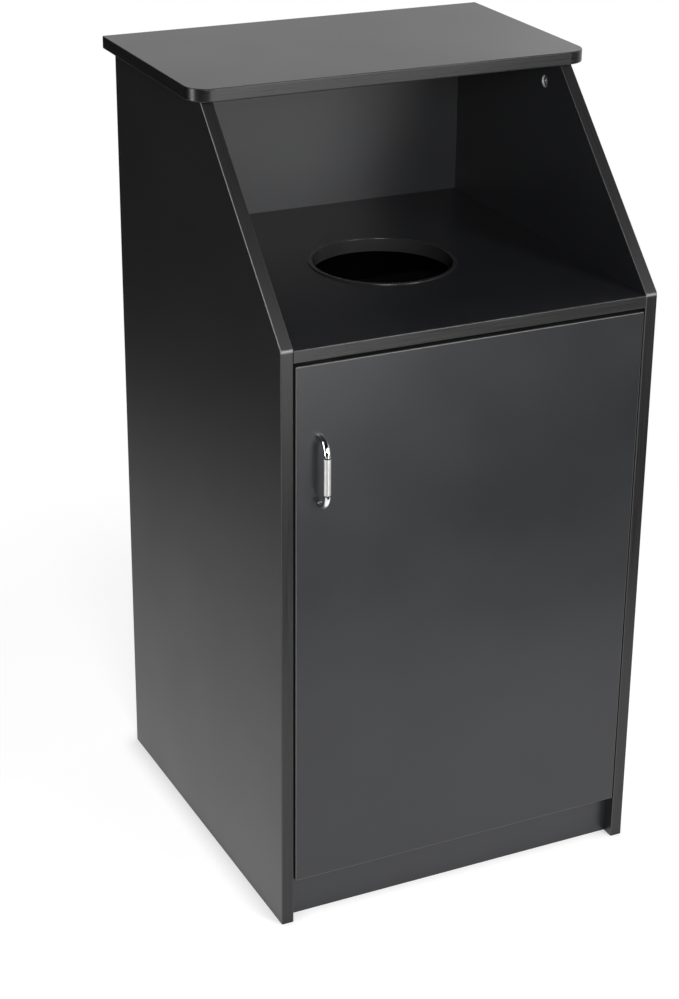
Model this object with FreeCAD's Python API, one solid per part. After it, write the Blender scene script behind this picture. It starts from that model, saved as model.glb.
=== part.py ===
"""Trash can cabinet: laminated board carcass, tray top, waste hole, inset door on concealed hinges.

Millimetres, +Z up, the door faces -Y and hangs on the +X side. The origin is the middle of the
cabinet's footprint, handle included, at floor level.
"""
import math
import os

import FreeCAD
import Part

V = FreeCAD.Vector
X_AXIS = V(1, 0, 0)
Y_AXIS = V(0, 1, 0)
Z_AXIS = V(0, 0, 1)

# Overall sizes
TOP_WIDTH = 596.9
HEIGHT = 1143.0
CARCASS_DEPTH = 571.5
HANDLE_PROJECTION = 25.4

# Boards and their edging
BOARD = 18.0
EDGING = 2.0
ARRIS = 1.6
SHOULDER_ROUND = 4.0

# Carcass layout
TOP_OVERHANG = 18.0
TOP_SETBACK = 235.5
TOP_CORNER_RADIUS = 30.0
SLANT_RUN = 259.0
SHOULDER_HEIGHT = 863.0
DECK_DROP = 1.5
FLOOR_HEIGHT = 64.0
KICK_SETBACK = 20.0

# Door
DOOR_GAP = 3.0
DOOR_TOP_GAP = 5.0
DOOR_HINGE_GAP = 1.6
DOOR_OPEN_ANGLE = 95.0

# Waste ring
HOLE_DIAMETER = 203.2
RING_FIT = 0.3
RING_WALL = 2.2
RING_FLANGE_WIDTH = 3.6
RING_FLANGE_THICKNESS = 1.6
RING_ROUND = 1.0

# Knock-down fittings
CAM_DIAMETER = 18.0
CAM_THICKNESS = 10.5
CAM_RECESS = 3.0
CAM_REACH = 36.5
CAM_SLOT_WIDTH = 2.2
CAM_SLOT_LENGTH = 10.0
CAM_SLOT_DEPTH = 1.5
BOLT_SHANK_DIAMETER = 6.0
BOLT_NECK_DIAMETER = 4.0
BOLT_NECK_LENGTH = 4.5
BOLT_HEAD_LENGTH = 3.0
BOLT_THREAD_DIAMETER = 5.0
BOLT_THREAD_LENGTH = 11.0
DOWEL_DIAMETER = 8.0
DOWEL_IN_FACE = 11.0
DOWEL_IN_EDGE = 19.0
DOWEL_SPACING = 32.0
FIT = 0.05
FITTING_INSET = 60.0
BACK_FITTING_INSET = 150.0
KICK_FITTING_HEIGHT = 20.0

# Handle
HANDLE_HOLE_SPACING = 96.0
HANDLE_FROM_EDGE = 35.4
HANDLE_FROM_TOP = 149.5
HANDLE_END_DIAMETER = 9.0
GRIP_DIAMETER = 9.6
GRIP_NECK_DIAMETER = 7.6
GRIP_NECK_LENGTH = 1.2
GRIP_CHAMFER = 0.6
HANDLE_SCREW_DIAMETER = 4.0
HANDLE_SCREW_HOLE = 5.0
HANDLE_SCREW_HEAD = 8.0
HANDLE_SCREW_HEAD_HEIGHT = 2.4
HANDLE_SCREW_IN_END = 8.0

# Concealed hinges: cup half on the door
HINGE_FROM_DOOR_END = 100.0
CUP_DIAMETER = 35.0
CUP_DEPTH = 12.8
CUP_WALL = 0.8
CUP_CENTRE_FROM_EDGE = 23.9
CUP_RIM_WIDTH = 1.5
CUP_FLANGE_THICKNESS = 0.8
CUP_WING_WIDTH = 14.0
CUP_WING_ROUND = 4.2
CUP_SCREW_SPACING = 48.0
CUP_SCREW_OFFSET = 6.0
PIN_DIAMETER = 3.0
EYE_DIAMETER = 6.4
EYE_LENGTH = 20.0
EYE_CLEARANCE = 0.4

# Concealed hinges: arm half on the side panel
NECK_THICKNESS = 4.5
NECK_WIDTH = 12.0
NECK_STRAIGHT = 18.0
NECK_BEND_RADIUS = 14.0
FOOT_THICKNESS = 8.0
FOOT_WIDTH = 14.0
FOOT_ROUND = 2.0
FOOT_LEAD = 10.0
FOOT_LENGTH = 52.0
PLATE_THICKNESS = 4.0
PLATE_WING_THICKNESS = 2.5
PLATE_WING_LENGTH = 16.0
PLATE_WING_ROUND = 6.4
PLATE_SCREW_SPACING = 32.0
PLATE_END_MARGIN = 6.0
ARM_SCREW_FROM_END = 8.0
ARM_SCREW_SPACING = 20.0
ARM_SCREW_DIAMETER = 4.0
ARM_SCREW_HOLE = ARM_SCREW_DIAMETER + 2 * FIT

# Screws: wood screws, and the share of a pan head that is flat on top and straight at its rim
SCREW_DIAMETER = 3.5
SCREW_LENGTH = 13.0
SCREW_HEAD = 7.0
SCREW_HEAD_HEIGHT = 2.0
SCREW_TIP = 3.0
HEAD_FLAT_SHARE = 0.6
HEAD_RIM_SHARE = 0.4
SCREW_HOLE = SCREW_DIAMETER + 2 * FIT

# Magnetic catch
CATCH_FROM_EDGE = 14.0
CATCH_LENGTH = 50.0
CATCH_EAR = 10.0
CATCH_EAR_THICKNESS = 3.0
CATCH_HEIGHT = 18.0
CATCH_DEPTH = 15.0
MAGNET_LENGTH = 24.0
MAGNET_HEIGHT = 6.0
MAGNET_DEPTH = 10.0
STRIKE_LENGTH = 34.0
STRIKE_HEIGHT = 10.0
STRIKE_THICKNESS = 1.2
STRIKE_TOP_MARGIN = 0.5
STRIKE_SCREW_DIAMETER = 3.0
STRIKE_SCREW_HEAD = 5.6
STRIKE_SCREW_LENGTH = 12.0
CATCH_CLEARANCE = 0.2

# Liner bin, with the room left round its lip
BIN_SIDE_ROOM = 58.0
BIN_FRONT_ROOM = 50.0
BIN_HEADROOM = 79.5
BIN_TAPER = 28.0
BIN_WALL = 3.0
BIN_BASE_ROUND = 8.0
BIN_CORNER_RADIUS = 45.0
BIN_LIP_WIDTH = 9.0
BIN_LIP_HEIGHT = 14.0
BIN_LIP_ROUND = 2.0

# Slack for picking the edges of a solid by their place
NEAR = 0.01

# Planes worked out from the sizes above
SIDE_OUTER = TOP_WIDTH / 2 - TOP_OVERHANG
SIDE_INNER = SIDE_OUTER - BOARD
SIDE_MIDDLE = SIDE_INNER + BOARD / 2
FRONT = HANDLE_PROJECTION - (CARCASS_DEPTH + HANDLE_PROJECTION) / 2
BACK = FRONT + CARCASS_DEPTH
BACK_INNER = BACK - BOARD
TOP_UNDERSIDE = HEIGHT - BOARD
TOP_FRONT = FRONT + TOP_SETBACK
DECK_HEIGHT = SHOULDER_HEIGHT - DECK_DROP
DECK_UNDERSIDE = DECK_HEIGHT - BOARD
FLOOR_UNDERSIDE = FLOOR_HEIGHT - BOARD
KICK_FRONT = FRONT + KICK_SETBACK
KICK_BACK = KICK_FRONT + BOARD
DOOR_BACK = FRONT + BOARD
DOOR_LOW = FLOOR_HEIGHT + DOOR_GAP
DOOR_HIGH = DECK_UNDERSIDE - DOOR_TOP_GAP
DOOR_LEFT = DOOR_GAP - SIDE_INNER
DOOR_RIGHT = SIDE_INNER - DOOR_HINGE_GAP
HOLE_CENTRE = (FRONT + BACK_INNER) / 2

# Hinge pivot: inside the cup, just above its floor
PIVOT_X = DOOR_RIGHT - CUP_CENTRE_FROM_EDGE
PIVOT_Y = DOOR_BACK - CUP_DEPTH + CUP_WALL + EYE_CLEARANCE + EYE_DIAMETER / 2
HINGE_HEIGHTS = (DOOR_LOW + HINGE_FROM_DOOR_END, DOOR_HIGH - HINGE_FROM_DOOR_END)
PLATE_FACE = SIDE_INNER - PLATE_THICKNESS
FOOT_FACE = PLATE_FACE - FOOT_THICKNESS

# Handle bow: the ends bend through a quarter circle from the door to the grip
HANDLE_X = DOOR_LEFT + HANDLE_FROM_EDGE
HANDLE_BEND = HANDLE_PROJECTION - GRIP_DIAMETER / 2
HANDLE_HEIGHT = DOOR_HIGH - HANDLE_FROM_TOP
HANDLE_TOP = HANDLE_HEIGHT + HANDLE_HOLE_SPACING / 2
HANDLE_FOOT = HANDLE_HEIGHT - HANDLE_HOLE_SPACING / 2

# Bin rim: half sizes about the hole's axis, and height
BIN_HALF_WIDTH = SIDE_INNER - BIN_SIDE_ROOM - BIN_LIP_WIDTH
BIN_HALF_DEPTH = HOLE_CENTRE - DOOR_BACK - BIN_FRONT_ROOM - BIN_LIP_WIDTH
BIN_RIM = DECK_UNDERSIDE - BIN_HEADROOM


def box(x0, x1, y0, y1, z0, z1):
    return Part.makeBox(x1 - x0, y1 - y0, z1 - z0, V(x0, y0, z0))


def rod(diameter, start, direction, length):
    return Part.makeCylinder(diameter / 2, length, start, direction)


def prism(points, travel):
    """Extrude the flat outline through the given points."""
    return Part.Face(Part.makePolygon(points + points[:1])).extrude(travel)


def turned(profile, base, axis):
    """Turn a profile of (radius, height) points about an axis through base."""
    across = axis.cross(Z_AXIS if abs(axis.z) < 0.9 else X_AXIS)
    points = [base + across * radius + axis * height for radius, height in profile]
    return Part.Face(Part.makePolygon(points + points[:1])).revolve(base, axis, 360)


def edges_where(shape, test):
    return [edge for edge in shape.Edges if test(edge.BoundBox)]


def screw(seat, into, diameter, length, head, head_height, tip):
    """Pan head on the seat, shank and point going in; a machine screw has no point."""
    shank = diameter / 2
    rim = head / 2
    profile = [(0, -head_height), (rim * HEAD_FLAT_SHARE, -head_height),
               (rim, -head_height * HEAD_RIM_SHARE), (rim, 0), (shank, 0),
               (shank, length - tip), (0, length)]
    return turned(profile, seat, into)


class Boards:
    """Boards of the carcass and door, the fittings that join them and the bores they need."""

    def __init__(self):
        self.solids = {}
        self.bores = {}
        self.cams = []
        self.bolts = []
        self.dowels = []

    def add(self, name, solid):
        self.solids[name] = solid
        self.bores[name] = []

    def bore(self, name, tool):
        self.bores[name].append(tool)

    def drilled(self, name):
        solid = self.solids[name]
        return solid.cut(self.bores[name]) if self.bores[name] else solid

    def join(self, cam_board, mate_board, seat, into, face, along):
        """Cam lock in cam_board's face, its bolt out of mate_board, and a dowel beside them.

        seat lies on the joint at mid-thickness, into points into cam_board's edge, face points
        out of the board's face that shows the cam, along points from the bolt to the dowel.
        """
        centre = seat + into * CAM_REACH
        surface = centre + face * (BOARD / 2)
        head = surface - face * CAM_RECESS
        cam = rod(CAM_DIAMETER - 2 * FIT, head, -face, CAM_THICKNESS)
        bolt_bore = BOLT_SHANK_DIAMETER + 2 * FIT
        socket = rod(bolt_bore, centre - into * CAM_DIAMETER, into, CAM_DIAMETER + FIT)
        side = into.cross(face) * (CAM_SLOT_WIDTH / 2)
        run = into * (CAM_SLOT_LENGTH / 2)
        corners = [head + run + side, head + run - side, head - run - side, head - run + side]
        slot = prism(corners, -face * CAM_SLOT_DEPTH)
        self.cams.append(cam.cut([socket, slot]))
        self.bore(cam_board, rod(CAM_DIAMETER, surface, -face, CAM_RECESS + CAM_THICKNESS))
        self.bore(cam_board, rod(bolt_bore, seat, into, CAM_REACH))

        shank = BOLT_SHANK_DIAMETER / 2
        neck = BOLT_NECK_DIAMETER / 2
        neck_start = CAM_REACH - BOLT_HEAD_LENGTH - BOLT_NECK_LENGTH
        neck_end = CAM_REACH - BOLT_HEAD_LENGTH
        thread = BOLT_THREAD_DIAMETER / 2
        profile = [(0, -BOLT_THREAD_LENGTH), (thread, -BOLT_THREAD_LENGTH), (thread, 0), (shank, 0),
                   (shank, neck_start), (neck, neck_start), (neck, neck_end), (shank, neck_end),
                   (shank, CAM_REACH), (0, CAM_REACH)]
        self.bolts.append(turned(profile, seat, into))
        self.bore(mate_board, rod(BOLT_THREAD_DIAMETER + 2 * FIT, seat, -into, BOLT_THREAD_LENGTH))

        dowel_seat = seat + along * DOWEL_SPACING
        dowel_start = dowel_seat - into * DOWEL_IN_FACE
        dowel_length = DOWEL_IN_FACE + DOWEL_IN_EDGE
        self.dowels.append(rod(DOWEL_DIAMETER - 2 * FIT, dowel_start, into, dowel_length))
        self.bore(cam_board, rod(DOWEL_DIAMETER, dowel_seat, into, DOWEL_IN_EDGE))
        self.bore(mate_board, rod(DOWEL_DIAMETER, dowel_seat, -into, DOWEL_IN_FACE))


def side_outline(x, inset):
    """Side panel seen from the side, its front edges set in by the thickness of the edging."""
    rise = TOP_UNDERSIDE - SHOULDER_HEIGHT
    slope = math.hypot(rise, SLANT_RUN)
    corner = SHOULDER_HEIGHT - inset * (slope - rise) / SLANT_RUN
    slant_end = FRONT + SLANT_RUN + inset * slope / rise
    front = FRONT + inset
    outline = [(front, 0), (BACK, 0), (BACK, TOP_UNDERSIDE), (slant_end, TOP_UNDERSIDE), (front, corner)]
    return [V(x, y, z) for y, z in outline]


def side_panel(x0):
    """Board and edging strip of one side; the strip runs up the front and the slant."""
    travel = X_AXIS * BOARD
    core = prism(side_outline(x0, EDGING), travel)
    whole = prism(side_outline(x0, 0), travel)
    shoulder = edges_where(whole, lambda b: b.YMax < FRONT + NEAR and b.ZMin > SHOULDER_HEIGHT - NEAR)
    whole = whole.makeFillet(SHOULDER_ROUND, shoulder)
    front_edges = edges_where(whole, lambda b: b.XLength < NEAR < b.ZLength and b.YMax < BACK - NEAR)
    return core, whole.makeFillet(ARRIS, front_edges).cut(core)


def top_outline(inset):
    half = TOP_WIDTH / 2 - inset
    front = TOP_FRONT + inset
    radius = TOP_CORNER_RADIUS - inset
    z = TOP_UNDERSIDE
    bow = radius * (1 - math.sqrt(0.5))
    back_left = V(-half, BACK, z)
    left_end = V(-half, front + radius, z)
    left_front = V(-half + radius, front, z)
    right_front = V(half - radius, front, z)
    right_end = V(half, front + radius, z)
    back_right = V(half, BACK, z)
    lines = [Part.LineSegment(back_left, left_end),
             Part.Arc(left_end, V(-half + bow, front + bow, z), left_front),
             Part.LineSegment(left_front, right_front),
             Part.Arc(right_front, V(half - bow, front + bow, z), right_end),
             Part.LineSegment(right_end, back_right), Part.LineSegment(back_right, back_left)]
    return Part.Face(Part.Wire([line.toShape() for line in lines]))


def top_panel():
    """Tray top with rounded front corners; the strip goes round the front and both ends."""
    travel = Z_AXIS * BOARD
    core = top_outline(EDGING).extrude(travel)
    whole = top_outline(0).extrude(travel)
    rim = edges_where(whole, lambda b: b.ZLength < NEAR and b.YMin < BACK - NEAR)
    return core, whole.makeFillet(ARRIS, rim).cut(core)


def deck_panel():
    whole = box(-SIDE_INNER, SIDE_INNER, FRONT, BACK_INNER, DECK_UNDERSIDE, DECK_HEIGHT)
    core = box(-SIDE_INNER, SIDE_INNER, FRONT + EDGING, BACK_INNER, DECK_UNDERSIDE, DECK_HEIGHT)
    front_edges = edges_where(whole, lambda b: b.YMax < FRONT + NEAR < FRONT + b.XLength)
    strip = whole.makeFillet(ARRIS, front_edges).cut(core)
    hole = rod(HOLE_DIAMETER, V(0, HOLE_CENTRE, DECK_UNDERSIDE), Z_AXIS, BOARD)
    return core.cut(hole), strip


def door_panel():
    """Inset door with a strip round all four edges."""
    whole = box(DOOR_LEFT, DOOR_RIGHT, FRONT, DOOR_BACK, DOOR_LOW, DOOR_HIGH)
    left = DOOR_LEFT + EDGING
    right = DOOR_RIGHT - EDGING
    core = box(left, right, FRONT, DOOR_BACK, DOOR_LOW + EDGING, DOOR_HIGH - EDGING)
    return core, whole.makeFillet(ARRIS, whole.Edges).cut(core)


def join_boards(boards):
    """Cam and dowel joints: top to sides, and deck, floor, kick and back to sides."""
    deck_middle = DECK_HEIGHT - BOARD / 2
    floor_middle = FLOOR_HEIGHT - BOARD / 2
    back_middle = BACK - BOARD / 2
    kick_middle = KICK_FRONT + BOARD / 2
    for name, hand in (("side_left", -1), ("side_right", 1)):
        inward = X_AXIS * -hand
        for y, step in ((TOP_FRONT + FITTING_INSET, 1), (BACK_INNER - FITTING_INSET, -1)):
            seat = V(hand * SIDE_MIDDLE, y, TOP_UNDERSIDE)
            boards.join(name, "top_panel", seat, -Z_AXIS, inward, Y_AXIS * step)
        for board, z in (("deck_panel", deck_middle), ("bottom_panel", floor_middle)):
            for y, step in ((FRONT + FITTING_INSET, 1), (BACK_INNER - FITTING_INSET, -1)):
                boards.join(board, name, V(hand * SIDE_INNER, y, z), inward, -Z_AXIS, Y_AXIS * step)
        kick_seat = V(hand * SIDE_INNER, kick_middle, KICK_FITTING_HEIGHT)
        boards.join("toe_kick", name, kick_seat, inward, Y_AXIS, Z_AXIS)
        for z in (BACK_FITTING_INSET, TOP_UNDERSIDE / 2, TOP_UNDERSIDE - BACK_FITTING_INSET):
            boards.join("back_panel", name, V(hand * SIDE_INNER, back_middle, z), inward, Y_AXIS, Z_AXIS)


def waste_ring():
    """Plastic liner of the hole: a flange on the deck and a sleeve through it."""
    sleeve = HOLE_DIAMETER / 2 - RING_FIT
    bore = sleeve - RING_WALL
    flange = HOLE_DIAMETER / 2 + RING_FLANGE_WIDTH
    high = DECK_HEIGHT + RING_FLANGE_THICKNESS
    profile = [(bore, DECK_UNDERSIDE), (sleeve, DECK_UNDERSIDE), (sleeve, DECK_HEIGHT),
               (flange, DECK_HEIGHT), (flange, high), (bore, high)]
    ring = turned(profile, V(0, HOLE_CENTRE, 0), Z_AXIS)
    return ring.makeFillet(RING_ROUND, edges_where(ring, lambda b: b.ZMin > high - NEAR))


def handle_end(z, turn):
    """One end of the bow: a quarter bend from the door's face to the grip, tapped for its screw."""
    start = Part.Face(Part.Wire(Part.makeCircle(HANDLE_END_DIAMETER / 2, V(HANDLE_X, FRONT, z), Y_AXIS)))
    bend = start.revolve(V(HANDLE_X, FRONT, z - turn * HANDLE_BEND), X_AXIS, 90 * turn)
    tapped = rod(HANDLE_SCREW_DIAMETER + 2 * FIT, V(HANDLE_X, FRONT, z), -Y_AXIS, HANDLE_SCREW_IN_END)
    return bend.cut(tapped)


def handle_grip():
    """Turned grip with a neck at each end."""
    length = HANDLE_HOLE_SPACING - 2 * HANDLE_BEND
    neck = GRIP_NECK_DIAMETER / 2
    full = GRIP_DIAMETER / 2
    shoulder = GRIP_NECK_LENGTH
    brow = full - GRIP_CHAMFER
    step = shoulder + GRIP_CHAMFER
    profile = [(0, 0), (neck, 0), (neck, shoulder), (brow, shoulder), (full, step), (full, length - step),
               (brow, length - shoulder), (neck, length - shoulder), (neck, length), (0, length)]
    return turned(profile, V(HANDLE_X, FRONT - HANDLE_BEND, HANDLE_FOOT + HANDLE_BEND), Z_AXIS)


def handle_screw(boards, z):
    seat = V(HANDLE_X, DOOR_BACK, z)
    boards.bore("door_panel", rod(HANDLE_SCREW_HOLE, seat, -Y_AXIS, BOARD))
    length = BOARD + HANDLE_SCREW_IN_END
    return screw(seat, -Y_AXIS, HANDLE_SCREW_DIAMETER, length, HANDLE_SCREW_HEAD,
                 HANDLE_SCREW_HEAD_HEIGHT, 0)


def hinge_cup(z):
    """Pressed cup with a flange and two screw wings, pierced for the pivot pin."""
    centre = V(PIVOT_X, DOOR_BACK, z)
    wing_x = PIVOT_X - CUP_SCREW_OFFSET
    wing_z = CUP_SCREW_SPACING / 2 + CUP_WING_WIDTH / 2
    shell = rod(CUP_DIAMETER - 2 * FIT, centre, -Y_AXIS, CUP_DEPTH)
    flange = rod(CUP_DIAMETER + 2 * CUP_RIM_WIDTH, centre, Y_AXIS, CUP_FLANGE_THICKNESS)
    wing = box(wing_x - CUP_WING_WIDTH / 2, wing_x + CUP_WING_WIDTH / 2,
               DOOR_BACK, DOOR_BACK + CUP_FLANGE_THICKNESS, z - wing_z, z + wing_z)
    corners = edges_where(wing, lambda b: b.XLength < NEAR and b.ZLength < NEAR)
    wing = wing.makeFillet(CUP_WING_ROUND, corners)
    hollow_depth = CUP_DEPTH - CUP_WALL + CUP_FLANGE_THICKNESS
    mouth = centre + Y_AXIS * CUP_FLANGE_THICKNESS
    hollow = rod(CUP_DIAMETER - 2 * CUP_WALL, mouth, -Y_AXIS, hollow_depth)
    pin_hole = rod(PIN_DIAMETER + FIT, V(PIVOT_X, PIVOT_Y, z - CUP_DIAMETER / 2), Z_AXIS, CUP_DIAMETER)
    holes = [rod(SCREW_HOLE, seat, -Y_AXIS, CUP_FLANGE_THICKNESS) for seat in cup_screw_seats(z)]
    return shell.fuse([flange, wing]).cut([hollow, pin_hole] + holes).removeSplitter()


def cup_screw_seats(z):
    x = PIVOT_X - CUP_SCREW_OFFSET
    y = DOOR_BACK + CUP_FLANGE_THICKNESS
    return [V(x, y, z + side * CUP_SCREW_SPACING / 2) for side in (-1, 1)]


def hinge_pin(z):
    length = CUP_DIAMETER - CUP_WALL
    return rod(PIN_DIAMETER, V(PIVOT_X, PIVOT_Y, z - length / 2), Z_AXIS, length)


def neck_bend():
    """Start, bend centre and end of the neck's middle line.

    The neck leaves the pin half the opening angle to the left of straight back, so the cup's mouth
    has the same room on both sides of it when the door is shut and when it is fully open.
    """
    heading = math.radians(90 + DOOR_OPEN_ANGLE / 2)
    start = V(PIVOT_X + NECK_STRAIGHT * math.cos(heading), PIVOT_Y + NECK_STRAIGHT * math.sin(heading), 0)
    centre = start + V(math.sin(heading), -math.cos(heading), 0) * NECK_BEND_RADIUS
    end = centre + Y_AXIS * NECK_BEND_RADIUS
    return start, centre, end


def foot_span():
    front = neck_bend()[2].y - FOOT_LEAD
    return front, front + FOOT_LENGTH


def arm_screw_seats(z):
    rear = foot_span()[1] - ARM_SCREW_FROM_END
    return [V(FOOT_FACE, y, z) for y in (rear, rear - ARM_SCREW_SPACING)]


def hinge_arm(z):
    """Gooseneck arm: eye on the pin, neck round the door's edge, foot on the mounting plate."""
    low = z - NECK_WIDTH / 2
    travel = Z_AXIS * NECK_WIDTH
    start, centre, end = neck_bend()
    half = NECK_THICKNESS / 2
    across = (start - V(PIVOT_X, PIVOT_Y, 0)).cross(Z_AXIS).normalize() * half
    lift = Z_AXIS * low
    pivot = V(PIVOT_X, PIVOT_Y, 0)
    neck_corners = [pivot + across, start + across, start - across, pivot - across]
    neck = prism([corner + lift for corner in neck_corners], travel)
    sweep = 90 + DOOR_OPEN_ANGLE / 2
    outer = Part.makeCylinder(NECK_BEND_RADIUS + half, NECK_WIDTH, centre + lift, Z_AXIS, sweep)
    inner = rod(2 * NECK_BEND_RADIUS - NECK_THICKNESS, centre + lift, Z_AXIS, NECK_WIDTH)
    bend = outer.cut(inner)
    bend.rotate(centre, Z_AXIS, 90)
    reach = box(end.x, FOOT_FACE, end.y - half, end.y + half, low, low + NECK_WIDTH)
    eye = rod(EYE_DIAMETER, V(PIVOT_X, PIVOT_Y, z - EYE_LENGTH / 2), Z_AXIS, EYE_LENGTH)
    foot_front, foot_back = foot_span()
    foot = box(FOOT_FACE, PLATE_FACE, foot_front, foot_back, z - FOOT_WIDTH / 2, z + FOOT_WIDTH / 2)
    long_edges = edges_where(foot, lambda b: b.XMax < FOOT_FACE + NEAR and b.YLength > NEAR)
    foot = foot.makeFillet(FOOT_ROUND, long_edges)
    arm = neck.fuse([bend, reach, eye, foot]).removeSplitter()
    bore = rod(PIN_DIAMETER + 2 * FIT, V(PIVOT_X, PIVOT_Y, z - EYE_LENGTH / 2), Z_AXIS, EYE_LENGTH)
    holes = [rod(ARM_SCREW_HOLE, seat, X_AXIS, FOOT_THICKNESS) for seat in arm_screw_seats(z)]
    return arm.cut([bore] + holes)


def plate_screw_seats(z):
    x = SIDE_INNER - PLATE_WING_THICKNESS
    y = sum(foot_span()) / 2
    return [V(x, y, z + side * PLATE_SCREW_SPACING / 2) for side in (-1, 1)]


def hinge_plate(z):
    """Mounting plate under the arm's foot, with a screw wing above and below."""
    front, back = foot_span()
    middle = (front + back) / 2
    pad = box(PLATE_FACE, SIDE_INNER, front + PLATE_END_MARGIN, back, z - FOOT_WIDTH / 2, z + FOOT_WIDTH / 2)
    wing_z = PLATE_SCREW_SPACING / 2 + PLATE_WING_LENGTH / 2
    wings = box(SIDE_INNER - PLATE_WING_THICKNESS, SIDE_INNER, middle - PLATE_WING_LENGTH / 2,
                middle + PLATE_WING_LENGTH / 2, z - wing_z, z + wing_z)
    corners = edges_where(wings, lambda b: b.XLength > NEAR)
    wings = wings.makeFillet(PLATE_WING_ROUND, corners)
    holes = [rod(SCREW_HOLE, seat, X_AXIS, PLATE_WING_THICKNESS) for seat in plate_screw_seats(z)]
    through = FOOT_THICKNESS + PLATE_THICKNESS
    holes += [rod(ARM_SCREW_HOLE, seat, X_AXIS, through) for seat in arm_screw_seats(z)]
    return pad.fuse(wings).removeSplitter().cut(holes)


def wood_screws(boards, board, seats, into, through):
    """Screws through a fitting of the given thickness, with their bores in the board."""
    screws = []
    for seat in seats:
        screws.append(screw(seat, into, SCREW_DIAMETER, SCREW_LENGTH, SCREW_HEAD,
                            SCREW_HEAD_HEIGHT, SCREW_TIP))
        boards.bore(board, rod(SCREW_HOLE, seat + into * through, into, SCREW_LENGTH - through))
    return screws


def arm_screws(z):
    length = FOOT_THICKNESS + PLATE_THICKNESS
    return [screw(seat, X_AXIS, ARM_SCREW_DIAMETER, length, SCREW_HEAD, SCREW_HEAD_HEIGHT, 0)
            for seat in arm_screw_seats(z)]


def hinges(boards):
    """Both hinges, as lists of solids by node."""
    nodes = {"hinge_cups": [hinge_cup(z) for z in HINGE_HEIGHTS],
             "hinge_pins": [hinge_pin(z) for z in HINGE_HEIGHTS],
             "hinge_arms": [hinge_arm(z) for z in HINGE_HEIGHTS],
             "hinge_plates": [hinge_plate(z) for z in HINGE_HEIGHTS],
             "hinge_cup_screws": [], "hinge_plate_screws": [], "hinge_arm_screws": []}
    for z in HINGE_HEIGHTS:
        boards.bore("door_panel", rod(CUP_DIAMETER, V(PIVOT_X, DOOR_BACK, z), -Y_AXIS, CUP_DEPTH))
        cup_screws = wood_screws(boards, "door_panel", cup_screw_seats(z), -Y_AXIS, CUP_FLANGE_THICKNESS)
        plate_screws = wood_screws(boards, "side_right", plate_screw_seats(z), X_AXIS, PLATE_WING_THICKNESS)
        nodes["hinge_cup_screws"] += cup_screws
        nodes["hinge_plate_screws"] += plate_screws
        nodes["hinge_arm_screws"] += arm_screws(z)
    return nodes


def catch(boards):
    """Magnetic catch under the deck, on the handle's side, and its strike on the door."""
    x0 = DOOR_LEFT + CATCH_FROM_EDGE
    x1 = x0 + CATCH_LENGTH
    middle = (x0 + x1) / 2
    face = DOOR_BACK + STRIKE_THICKNESS + CATCH_CLEARANCE
    low = DECK_UNDERSIDE - CATCH_HEIGHT
    ears = box(x0, x1, face, face + CATCH_DEPTH, DECK_UNDERSIDE - CATCH_EAR_THICKNESS, DECK_UNDERSIDE)
    case = box(x0 + CATCH_EAR, x1 - CATCH_EAR, face, face + CATCH_DEPTH, low, DECK_UNDERSIDE)
    magnet_low = low + (CATCH_HEIGHT - CATCH_EAR_THICKNESS - MAGNET_HEIGHT) / 2
    magnet = box(middle - MAGNET_LENGTH / 2, middle + MAGNET_LENGTH / 2, face, face + MAGNET_DEPTH,
                 magnet_low, magnet_low + MAGNET_HEIGHT)
    seats = [V(x, face + CATCH_DEPTH / 2, DECK_UNDERSIDE - CATCH_EAR_THICKNESS)
             for x in (x0 + CATCH_EAR / 2, x1 - CATCH_EAR / 2)]
    holes = [rod(SCREW_HOLE, seat, Z_AXIS, CATCH_EAR_THICKNESS) for seat in seats]
    body = ears.fuse(case).removeSplitter().cut([magnet] + holes)
    screws = wood_screws(boards, "deck_panel", seats, Z_AXIS, CATCH_EAR_THICKNESS)
    strike_high = DOOR_HIGH - EDGING - STRIKE_TOP_MARGIN
    strike = box(middle - STRIKE_LENGTH / 2, middle + STRIKE_LENGTH / 2,
                 DOOR_BACK, DOOR_BACK + STRIKE_THICKNESS, strike_high - STRIKE_HEIGHT, strike_high)
    seat = V(middle, DOOR_BACK + STRIKE_THICKNESS, strike_high - STRIKE_HEIGHT / 2)
    shank = STRIKE_SCREW_DIAMETER / 2
    profile = [(0, 0), (STRIKE_SCREW_HEAD / 2, 0), (shank, STRIKE_THICKNESS),
               (shank, STRIKE_SCREW_LENGTH - SCREW_TIP), (0, STRIKE_SCREW_LENGTH)]
    strike_screw = turned(profile, seat, -Y_AXIS)
    boards.bore("door_panel", rod(STRIKE_SCREW_DIAMETER + 2 * FIT, seat, -Y_AXIS, STRIKE_SCREW_LENGTH))
    return {"catch_body": [body], "catch_magnet": [magnet], "catch_screws": screws,
            "catch_strike": [strike.cut(strike_screw)], "catch_strike_screw": [strike_screw]}


def rounded_rectangle(half_x, half_y, radius, z):
    """Flat outline with round corners about the waste hole's axis."""
    edges = []
    bow = radius * math.sqrt(0.5)
    for sx, sy in ((1, 1), (-1, 1), (-1, -1), (1, -1)):
        c = V(sx * (half_x - radius), HOLE_CENTRE + sy * (half_y - radius), z)
        end_x = c + V(sx * radius, 0, 0)
        end_y = c + V(0, sy * radius, 0)
        first, last = (end_x, end_y) if sx * sy > 0 else (end_y, end_x)
        edges.append(Part.Arc(first, c + V(sx * bow, sy * bow, 0), last).toShape())
    straight = []
    for this, following in zip(edges, edges[1:] + edges[:1]):
        straight.append(Part.LineSegment(this.lastVertex().Point, following.firstVertex().Point).toShape())
    return Part.Wire([edge for pair in zip(edges, straight) for edge in pair])


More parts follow.
